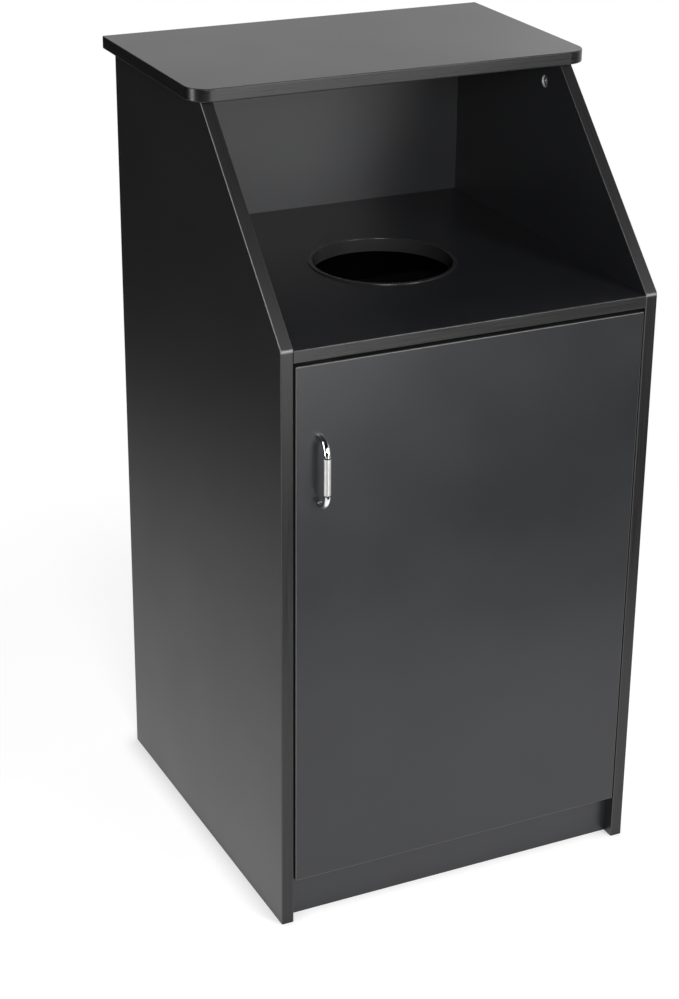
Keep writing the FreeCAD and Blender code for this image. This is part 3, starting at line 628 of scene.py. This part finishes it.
# %% Cast finishes
CAST_BUMP = 0.3
CAST_DEPTH = 0.0001
DULL_TONES = (grey(0.05), grey(0.085))


def grainy_casting(name, tones, sheen, grain, metallic):
    finish, tree, shader = new_finish(name, Metallic=metallic)
    skin = use_effect(tree, PEBBLED_SKIN, Pebble_Size=grain, Cloud_Size=0.004)
    vary_roughness(tree, shader, skin["Clouds"], *sheen)
    vary_colour(tree, shader, skin["Clouds"], *tones)
    raise_surface(tree, shader, skin["Height"], CAST_BUMP, CAST_DEPTH)
    return finish


ZINC = grainy_casting("cam_zinc", (grey(0.46), grey(0.6)), sheen=(0.36, 0.5), grain=0.0005, metallic=0.35)
# The sunk face is painted a much darker grey than the rim.
DARK_FACE_ZINC = grainy_casting("cam_face_zinc", DULL_TONES, sheen=(0.45, 0.6), grain=0.0005, metallic=0.6)
MAGNET = grainy_casting("magnet", DULL_TONES, sheen=(0.45, 0.65), grain=0.0004, metallic=0.0)
print("castings:", ZINC.name, DARK_FACE_ZINC.name, MAGNET.name)

# %% [markdown]
# ## Finish: beech
# The dowels are turned from beech, pale brown with short dark flecks along the grain. They sit inside
# the boards and never show, so a plain brown would do; yet they carry their finish for anyone who takes
# the model apart, and the streaks are at hand.

# %% Beech finish
BEECH_TONES = ((0.56, 0.39, 0.23, 1), (0.68, 0.52, 0.34, 1))
BEECH_SHEEN = (0.55, 0.7)
BEECH_BUMP = 0.2


def plain_beech():
    finish, tree, shader = new_finish("beech", IOR=1.45)
    grain = use_effect(tree, LENGTHWISE_STREAKS, Along_X=120.0, Along_Y=1400.0, Along_Z=1400.0)
    vary_roughness(tree, shader, grain["Shade"], *BEECH_SHEEN)
    vary_colour(tree, shader, grain["Shade"], *BEECH_TONES)
    raise_surface(tree, shader, grain["Height"], BEECH_BUMP, STREAK_DEPTH)
    return finish


BEECH = plain_beech()
print(BEECH.name, "has", len(BEECH.node_tree.nodes), "nodes")

# %% [markdown]
# ## Dress the CAD nodes
# Each CAD node keeps its mesh and gets one finish. A table by finish is shorter to read than a table by
# node, and the count at the end shows that none was forgotten.

# %% Give every node its finish
WEARERS = [
    (LAMINATE, "side_left side_right deck_panel bottom_panel toe_kick door_panel"),
    (TOP_LAMINATE, "top_panel"),
    (BACK_LAMINATE, "back_panel"),
    (SIDE_STRIP, "side_left_edge_band side_right_edge_band"),
    (TOP_STRIP, "top_edge_band"),
    (DECK_STRIP, "deck_edge_band"),
    (DOOR_STRIP, "door_edge_band"),
    (RING_PLASTIC, "waste_ring"),
    (BIN_PLASTIC, "liner_bin"),
    (CATCH_PLASTIC, "catch_body"),
    (CHROME, "handle_ends"),
    (SATIN, "handle_grip"),
    (NICKEL, "hinge_cups hinge_pins hinge_arms hinge_plates catch_strike"),
    (STEEL, "cam_bolts hinge_cup_screws hinge_plate_screws hinge_arm_screws handle_screws catch_screws"),
    (STEEL, "catch_strike_screw"),
    (ZINC, "cam_locks"),
    (MAGNET, "catch_magnet"),
    (BEECH, "dowels"),
]
dressed = set()
for finish, names in WEARERS:
    for name in names.split():
        nodes[name].data.materials.clear()
        nodes[name].data.materials.append(finish)
        dressed.add(name)
print(len(dressed), "of", len(nodes), "nodes have their finish")

# %% [markdown]
# ## Where the small fittings sit
# Screws and cam locks are plain turned solids in CAD. Their heads deserve a driver recess, which means a
# new mesh at the same seats. We could copy the seats' coordinates, but the CAD mesh knows them: each
# loose piece of a node is one screw, and its box gives the centre and the length.

# %% Find the loose pieces of a node
MERGE = 1e-6


def loose_boxes(name):
    """Low and high corner of every loose piece in a node's mesh, in a fixed order."""
    bm = bmesh.new()
    bm.from_mesh(nodes[name].data)
    bmesh.ops.remove_doubles(bm, verts=bm.verts, dist=MERGE)
    waiting = set(bm.verts)
    boxes = []
    while waiting:
        front = [waiting.pop()]
        piece = list(front)
        while front:
            reached = {edge.other_vert(vert) for vert in front for edge in vert.link_edges} & waiting
            waiting -= reached
            piece += reached
            front = list(reached)
        low = Vector([min(vert.co[axis] for vert in piece) for axis in range(3)])
        high = Vector([max(vert.co[axis] for vert in piece) for axis in range(3)])
        boxes.append((low, high))
    bm.free()
    return sorted(boxes, key=lambda box: [round(value, 4) for value in box[0]])


for name in ("cam_locks", "hinge_cup_screws", "handle_screws"):
    print(name, "has", len(loose_boxes(name)), "pieces")

# %% [markdown]
# ## A head with a cross recess
# A screw head could be cut with a boolean, but booleans leave ragged faces. A loft is cleaner: the same
# number of points on every ring, from the tip up the shank, over the domed head and down into the
# recess. The recess is a cross of twelve corners, each edge cut in four. Seen from the middle, the
# points of the cross go round once, so every circle below it takes its points at the same angles.

# %% Cross and circle rings
ARMS = 4
EDGE_CUTS = 4


def cross_ring(reach, half_width):
    corners = []
    for arm in range(ARMS):
        spin = Matrix.Rotation(arm * 2 * math.pi / ARMS, 2)
        corners += [spin @ Vector(corner) for corner in (
            (reach, -half_width), (reach, half_width), (half_width, half_width))]
    ring = []
    for here, after in zip(corners, corners[1:] + corners[:1]):
        ring += [here.lerp(after, cut / EDGE_CUTS) for cut in range(EDGE_CUTS)]
    return ring


def circle_like(ring, radius):
    return [point.normalized() * radius for point in ring]


print("a cross ring has", len(cross_ring(2.0, 0.5)), "points")

# %% [markdown]
# ## Loft the rings into a mesh
# Each ring is written at its height along the local Z axis, the quads between neighbours are added, and
# a matrix that turns Z to the outward direction puts the piece on its seat. All screws of one node go
# into one mesh, because they share a finish and ride on one body.

# %% Loft helpers
def stand_on(point, outward):
    """Matrix that puts the local origin on the point and local Z along the outward direction."""
    return Matrix.Translation(point) @ outward.to_track_quat("Z", "Y").to_matrix().to_4x4()


def loft(bm, rings, place, dull_step=None):
    """Skin a list of (ring, height) and close both ends; one step may take the second finish."""
    loops = [[bm.verts.new(place @ Vector((point.x, point.y, height))) for point in ring]
             for ring, height in rings]
    count = len(loops[0])
    for step, (lower, upper) in enumerate(zip(loops, loops[1:])):
        for here in range(count):
            after = (here + 1) % count
            face = bm.faces.new((lower[here], lower[after], upper[after], upper[here]))
            face.material_index = int(step == dull_step)
    bm.faces.new(list(reversed(loops[0])))
    bm.faces.new(loops[-1])

# %% [markdown]
# A built mesh becomes a piece in three steps: its faces are turned outward, shallow steps between them are
# shaded smooth, and it is set to ride on its body while the CAD node it replaces is hidden. Bevels would
# soften the edges too, but they cost many faces on heads as small as these.

# %% Finished piece
SMOOTH_BELOW_DEGREES = 32


def finished_piece(name, bm, finishes, body, node):
    """Turn a built mesh into a piece that rides on a body, and hide the CAD node it replaces."""
    bmesh.ops.recalc_face_normals(bm, faces=bm.faces)
    mesh = bpy.data.meshes.new(name)
    bm.to_mesh(mesh)
    bm.free()
    mesh.shade_smooth()
    mesh.set_sharp_from_angle(angle=math.radians(SMOOTH_BELOW_DEGREES))
    for finish in finishes:
        mesh.materials.append(finish)
    piece = bpy.data.objects.new(name, mesh)
    bpy.context.scene.collection.objects.link(piece)
    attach(piece, body)
    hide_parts(node)
    print(name, "stands for", node, "with", len(mesh.polygons), "faces")

# %% [markdown]
# ## Screws
# Pan head screws hold the hinges and the catch, longer ones hold the handle from the door's back, and one
# countersunk screw holds the strike plate. Each kind could be modelled by itself, but a profile of (share
# of the head's radius, share of its height) pairs lets one function make them all. Heights count from the
# top of the head, and the shank keeps the length that the CAD solid has.

# %% Screw profile
PAN_DOME = [(1.0, 1.0), (1.0, 0.62), (0.965, 0.42), (0.88, 0.22), (0.74, 0.07), (0.6, 0.0)]
FLAT_CONE = [(0.54, 1.0), (0.97, 0.06), (1.0, 0.02), (0.94, 0.0)]
RECESS_REACH = 0.5
RECESS_HALF_WIDTH = 0.13
RECESS_DEPTH = 0.75
RECESS_TAPER = 0.72
POINT_LENGTH = 0.003
POINT_WIDTH = 0.08
BLUNT_LENGTH = 0.2
BLUNT_WIDTH = 0.8


def screw_rings(length, head, height, shank, dome, pointed):
    """Rings from the tip to the bottom of the recess; head and shank are radii in metres."""
    cross = cross_ring(head * RECESS_REACH, head * RECESS_HALF_WIDTH)
    taper = POINT_LENGTH if pointed else shank * BLUNT_LENGTH
    tip = shank * (POINT_WIDTH if pointed else BLUNT_WIDTH)
    rings = [(circle_like(cross, tip), -length), (circle_like(cross, shank), taper - length),
             (circle_like(cross, shank), -height)]
    rings += [(circle_like(cross, head * share), -height * drop) for share, drop in dome]
    floor_cross = [point * RECESS_TAPER for point in cross]
    return rings + [(cross, 0.0), (floor_cross, -height * RECESS_DEPTH)]

# %% [markdown]
# Each set below names its node, the way its heads face, the body it rides on and its kind. Heads on the
# door face back into the cabinet, heads on the right side face left, and the catch screws are driven up
# from below.

# %% Make the screws
INWARD = (0, 1, 0)
TO_LEFT = (-1, 0, 0)
DOWN = (0, 0, -1)
WOOD_SCREW = {"head": 0.0035, "height": 0.002, "shank": 0.00175, "dome": PAN_DOME, "pointed": True}
ARM_SCREW = {"head": 0.0035, "height": 0.002, "shank": 0.002, "dome": PAN_DOME, "pointed": False}
HANDLE_BOLT = {"head": 0.004, "height": 0.0024, "shank": 0.002, "dome": PAN_DOME, "pointed": False}
FLAT_SCREW = {"head": 0.0028, "height": 0.0012, "shank": 0.0015, "dome": FLAT_CONE, "pointed": True}


def screw_set(name, node, outward, body, kind):
    bm = bmesh.new()
    outward = Vector(outward)
    for low, high in loose_boxes(node):
        middle = (low + high) / 2
        half = (high - low).dot(Vector([abs(value) for value in outward])) / 2
        loft(bm, screw_rings(2 * half, **kind), stand_on(middle + outward * half, outward))
    finished_piece(name, bm, [STEEL], body, node)


screw_set("cup_screws", "hinge_cup_screws", INWARD, "door", WOOD_SCREW)
screw_set("plate_screws", "hinge_plate_screws", TO_LEFT, "cabinet", WOOD_SCREW)
screw_set("arm_screws", "hinge_arm_screws", TO_LEFT, "cabinet", ARM_SCREW)
screw_set("catch_ear_screws", "catch_screws", DOWN, "cabinet", WOOD_SCREW)
screw_set("handle_bolts", "handle_screws", INWARD, "door", HANDLE_BOLT)
screw_set("strike_screw", "catch_strike_screw", INWARD, "door", FLAT_SCREW)

# %% [markdown]
# ## Cam locks
# One cam lock shows in the photograph, just under the top on the right: a bright crescent of metal deep
# in a dark bore, with a cross in the middle. The casting is a shallow cup, its rim almost level with the
# board and its face sunk below. A picture on the flat CAD face would miss the crescent, so the same loft
# makes the cup. A cam is thinner than wide, so the shortest side of its CAD box is its axis; it faces into
# the bay on the sides, down under the boards, and back on the back panel and the kick.

# %% Profile of a cam lock
CAM_WALL = 0.0011
CAM_RIM_UP = 0.0026
CAM_EASE = 0.0003
CAM_INNER_EASE = 0.0002
CAM_FLOOR_EASE = 0.0007
CAM_FOOT_WIDTH = 0.93
CAM_FOOT_DEPTH = 0.94


def cam_direction(low, high):
    """The way a cam faces, its depth and its radius."""
    size = list(high - low)
    axis = size.index(min(size))
    outward = Vector((0, 0, 0))
    outward[axis] = (-math.copysign(1, low.x), 1, -1)[axis]
    return outward, size[axis], max(size) / 2


def cam_profile(depth, radius):
    """(Radius, height) steps from the foot over the rim down to the sunk face."""
    inner = radius - CAM_WALL
    return [(radius * CAM_FOOT_WIDTH, -depth), (radius, -depth * CAM_FOOT_DEPTH),
            (radius, CAM_RIM_UP - CAM_EASE), (radius - CAM_EASE, CAM_RIM_UP),
            (inner + CAM_INNER_EASE, CAM_RIM_UP), (inner, CAM_RIM_UP - CAM_INNER_EASE),
            (inner - CAM_EASE, CAM_EASE), (inner - CAM_FLOOR_EASE, 0.0)]

# %% [markdown]
# The cross in the middle is lofted on from the last step, so each casting stays one closed skin; a cross
# laid on as a second mesh would show a seam. The flat face round it is painted a much darker grey than the
# rim, because only the rim shines in the photograph.

# %% Make the cam locks
CAM_CROSS_REACH = 0.0046
CAM_CROSS_HALF = 0.0011
CAM_CROSS_DEPTH = 0.003
CAM_CROSS_TAPER = 0.8


def cam_locks():
    bm = bmesh.new()
    cross = cross_ring(CAM_CROSS_REACH, CAM_CROSS_HALF)
    floor_cross = [point * CAM_CROSS_TAPER for point in cross]
    for low, high in loose_boxes("cam_locks"):
        outward, depth, radius = cam_direction(low, high)
        steps = cam_profile(depth, radius)
        rings = [(circle_like(cross, wide), height) for wide, height in steps]
        rings += [(cross, 0.0), (floor_cross, -CAM_CROSS_DEPTH)]
        seat = stand_on((low + high) / 2 + outward * depth / 2, outward)
        loft(bm, rings, seat, dull_step=len(steps) - 1)
    finished_piece("cam_castings", bm, [ZINC, DARK_FACE_ZINC], "cabinet", "cam_locks")


cam_locks()

# %% [markdown]
# ## The studio
# The cabinet stands on a white paper sweep. The paper is white to the camera, and to mirrored rays,
# through Light Path; for all other rays it is plain paper. We could light a white floor until it clips,
# but that would flood the cabinet as well. Near the cabinet the seen paper still takes the lamps' shade,
# so the soft shadow stays; further out it fades to pure white.

# %% Background rays and stage helper
def background_ray(tree):
    """1 for rays that show the background: seen by the camera, mirrored, or through glass."""
    path = add(tree, "ShaderNodeLightPath").outputs
    seen = reckon(tree, "MAXIMUM", path["Is Camera Ray"], path["Is Glossy Ray"])
    return reckon(tree, "MAXIMUM", seen, path["Is Transmission Ray"])


def flat_stage(name, corners, faces, material):
    mesh = bpy.data.meshes.new(name)
    mesh.from_pydata(corners, [], faces)
    mesh.materials.append(material)
    made = bpy.data.objects.new(name, mesh)
    bpy.context.scene.collection.objects.link(made)
    return made

# %% [markdown]
# The world is the studio's white wall. To the camera and in reflections it is plain white, but as a light
# it only gives a weak even fill, or the black boards would lose all modelling. One Map Range node turns the
# background mask into these two strengths.

# %% World
AMBIENT = 0.14

world = bpy.data.worlds.new("studio")
bpy.context.scene.world = world
world.use_nodes = True
sky = world.node_tree
backdrop = sky.nodes["Background"]
backdrop.inputs["Color"].default_value = grey(1.0)
sky.links.new(follow(sky, background_ray(sky), AMBIENT, 1.0), backdrop.inputs["Strength"])
print("ambient light", AMBIENT)

# %% [markdown]
# The paper's shader has three parts: plain diffuse paper for the light that bounces, a glow plus a thin
# diffuse layer for the paper that is seen near the cabinet, and pure white beyond. The glow is dimmed a
# little in the corner between floor and cabinet, where real paper gets less light from all round.

# %% Seen paper
SHADED_GREY = grey(0.45)
WHITE = grey(1.0)
CORNER_REACH = 0.035
CORNER_SAMPLES = 16
CORNER_GLOW = 0.3
OPEN_GLOW = 0.84
SHADE_ENDS = 0.75
WHITE_STARTS = 1.35


def empty_material(name):
    material = bpy.data.materials.new(name)
    material.use_nodes = True
    material.node_tree.nodes.clear()
    return material, material.node_tree


def seen_paper(tree):
    """Glow and shade near the cabinet, pure white further out."""
    shaded = add(tree, "ShaderNodeBsdfDiffuse", {"Color": SHADED_GREY})
    corner = add(tree, "ShaderNodeAmbientOcclusion", {"Distance": CORNER_REACH}, samples=CORNER_SAMPLES)
    glow_level = follow(tree, corner.outputs["AO"], CORNER_GLOW, OPEN_GLOW)
    glow = add(tree, "ShaderNodeEmission", {"Color": WHITE, "Strength": glow_level})
    near = add(tree, "ShaderNodeAddShader", {0: shaded.outputs[0], 1: glow.outputs[0]})
    far = add(tree, "ShaderNodeEmission", {"Color": WHITE, "Strength": 1.0})
    distance = add(tree, "ShaderNodeVectorMath", {0: place_on(tree)}, operation="LENGTH")
    fade = add(tree, "ShaderNodeMapRange", interpolation_type="SMOOTHSTEP", inputs={
        "Value": distance.outputs["Value"], "From Min": SHADE_ENDS, "From Max": WHITE_STARTS})
    return add(tree, "ShaderNodeMixShader", {
        0: fade.outputs["Result"], 1: near.outputs[0], 2: far.outputs[0]}).outputs[0]

# %% [markdown]
# The background mask then chooses between the seen paper and the plain one. The floor is one large square
# of it. A curved sweep would hide the horizon too, but the world beyond the square's edges is just as white.

# %% Paper floor
PAPER_GREY = grey(0.8)
FLOOR_HALF = 14.0


def white_paper():
    paper, tree = empty_material("white_paper")
    plain = add(tree, "ShaderNodeBsdfDiffuse", {"Color": PAPER_GREY})
    either = add(tree, "ShaderNodeMixShader", {
        0: background_ray(tree), 1: plain.outputs[0], 2: seen_paper(tree)})
    add(tree, "ShaderNodeOutputMaterial", {"Surface": either.outputs[0]})
    return paper


flat_stage("floor", [
    (-FLOOR_HALF, -FLOOR_HALF, 0), (FLOOR_HALF, -FLOOR_HALF, 0),
    (FLOOR_HALF, FLOOR_HALF, 0), (-FLOOR_HALF, FLOOR_HALF, 0)], [(0, 1, 2, 3)], white_paper())
print("paper fades to white between", SHADE_ENDS, "and", WHITE_STARTS, "m")

# %% [markdown]
# ## Black flags
# In the sheen of the photograph the door's upper half, the upper left side and the underside of the top
# are dark: beyond the paper the real studio is unlit. Photographers hang black cloth, called flags, to
# get this. The flags here are a front wall, a left wall, a ceiling and the bare floor in front of the
# paper, whose edge runs aslant. They are seen by mirrored rays alone, so they shape reflections and block
# no light.

# %% Flags
PAPER_FRONT_LEFT = -1.63
PAPER_FRONT_RIGHT = 0.09
ROOM_LEFT = -2.6
ROOM_FRONT = -6.0
ROOM_RIGHT = 6.0
ROOM_BACK = 30.0
CEILING = 4.2
CEILING_BACK = 1.5
LIFT = 0.003
CLOTH_BLACK = grey(0.012)


def only_mirrored(stage_piece):
    """Leave a stage piece in reflections alone."""
    stage_piece.visible_camera = False
    stage_piece.visible_diffuse = False
    stage_piece.visible_shadow = False
    stage_piece.visible_transmission = False


cloth = new_finish("flag_cloth", Base_Color=CLOTH_BLACK, Roughness=1.0)[0]
flags = flat_stage("flags", [
    (ROOM_LEFT, ROOM_FRONT, LIFT), (ROOM_RIGHT, ROOM_FRONT, LIFT),
    (ROOM_RIGHT, PAPER_FRONT_RIGHT, LIFT), (ROOM_LEFT, PAPER_FRONT_LEFT, LIFT),
    (ROOM_LEFT, ROOM_FRONT, CEILING), (ROOM_RIGHT, ROOM_FRONT, CEILING),
    (ROOM_RIGHT, CEILING_BACK, CEILING), (ROOM_LEFT, CEILING_BACK, CEILING),
    (ROOM_LEFT, ROOM_BACK, CEILING), (ROOM_LEFT, ROOM_BACK, LIFT)],
    [(0, 1, 2, 3), (0, 1, 5, 4), (4, 5, 6, 7), (0, 9, 8, 4)], cloth)
only_mirrored(flags)
print("flags:", len(flags.data.polygons), "cloths")

# %% [markdown]
# On the left side the sheen fades slowly from the floor up, as the paper there runs from bright into
# shade. A card with a gradient takes the paper's place in mirrored rays: its glow falls along one slanting
# direction, away from the cabinet and towards the back. It goes on behind the cabinet, where the lower edge
# of the tray top would mirror the paper as a thin bright line.

# %% Graded card
CARD_RIGHT = -0.285
CARD_FRONT = -0.3
CARD_BEHIND = 0.3
FADE_DIRECTION = (-0.905, 0.425, 0.0)
FADE_STARTS = 0.25
FADE_ENDS = 1.6
NEAR_GLOW = 0.88
FADED_GLOW = 0.04


def graded_paper():
    paper, tree = empty_material("graded_paper")
    along = share_along(tree, place_on(tree), FADE_DIRECTION)
    level = follow(tree, mask_between(tree, along, FADE_STARTS, FADE_ENDS), NEAR_GLOW, FADED_GLOW)
    glow = add(tree, "ShaderNodeEmission", {"Color": WHITE, "Strength": level})
    add(tree, "ShaderNodeOutputMaterial", {"Surface": glow.outputs[0]})
    return paper


only_mirrored(flat_stage("graded_card", [
    (ROOM_LEFT, CARD_FRONT, LIFT), (CARD_RIGHT, CARD_FRONT, LIFT), (CARD_RIGHT, CARD_BEHIND, LIFT),
    (ROOM_RIGHT, CARD_BEHIND, LIFT), (ROOM_RIGHT, ROOM_BACK, LIFT), (ROOM_LEFT, ROOM_BACK, LIFT)],
    [(0, 1, 2, 3, 4, 5)], graded_paper()))
print("the card fades from", NEAR_GLOW, "to", FADED_GLOW)

# %% [markdown]
# ## Lamps
# Black laminate shows its lamps more than its colour, so each lamp is placed for the reflection it leaves.
# The key stands in front on the right, and the right side board's shadow grades its light across the back
# wall. A high box beside it reaches the deck, a broad fill near the camera lifts the fronts, and a weak box
# behind lights the top. Two more lamps only draw reflections, so they are switched off for diffuse light: a
# low card whose glow lies on the door, and a tall strip on the left for thin lines along edges and metal.
# The table gives each lamp's name, place, target, size in metres, power in watts, and whether it lights
# diffuse surfaces.

# %% Lamps
LAMPS = [
    ("key_box", (1.1, -2.9, 1.05), (0, 0, 0.7), (1.1, 1.0), 32, True),
    ("bounce_card", (0.22, -2.35, 0.3), (0.05, -0.9, 2.0), (1.0, 0.8), 11, False),
    ("fill_box", (-1.2, -3.3, 2.0), (0, 0, 0.7), (1.2, 1.2), 74, True),
    ("back_box", (2.8, 3.2, 2.6), (0, 0, 1.1), (1.2, 1.2), 4, True),
    ("high_box", (1.35, -2.9, 2.4), (0, 0, 0.9), (0.6, 0.8), 36, True),
    ("strip_box", (-2.3, 0.1, 1.2), (0, 0.1, 1.2), (0.6, 2.3), 36, False),
]


def soft_box(name, place, target, size, power, lights_diffuse):
    data = bpy.data.lights.new(name, "AREA")
    data.shape = "RECTANGLE"
    data.size = size[0]
    data.size_y = size[1]
    data.energy = power
    lamp = bpy.data.objects.new(name, data)
    lamp.location = place
    lamp.rotation_euler = (Vector(target) - Vector(place)).to_track_quat("-Z", "Y").to_euler()
    lamp.visible_diffuse = lights_diffuse
    bpy.context.scene.collection.objects.link(lamp)


for lamp in LAMPS:
    soft_box(*lamp)
print(len(LAMPS), "lamps")
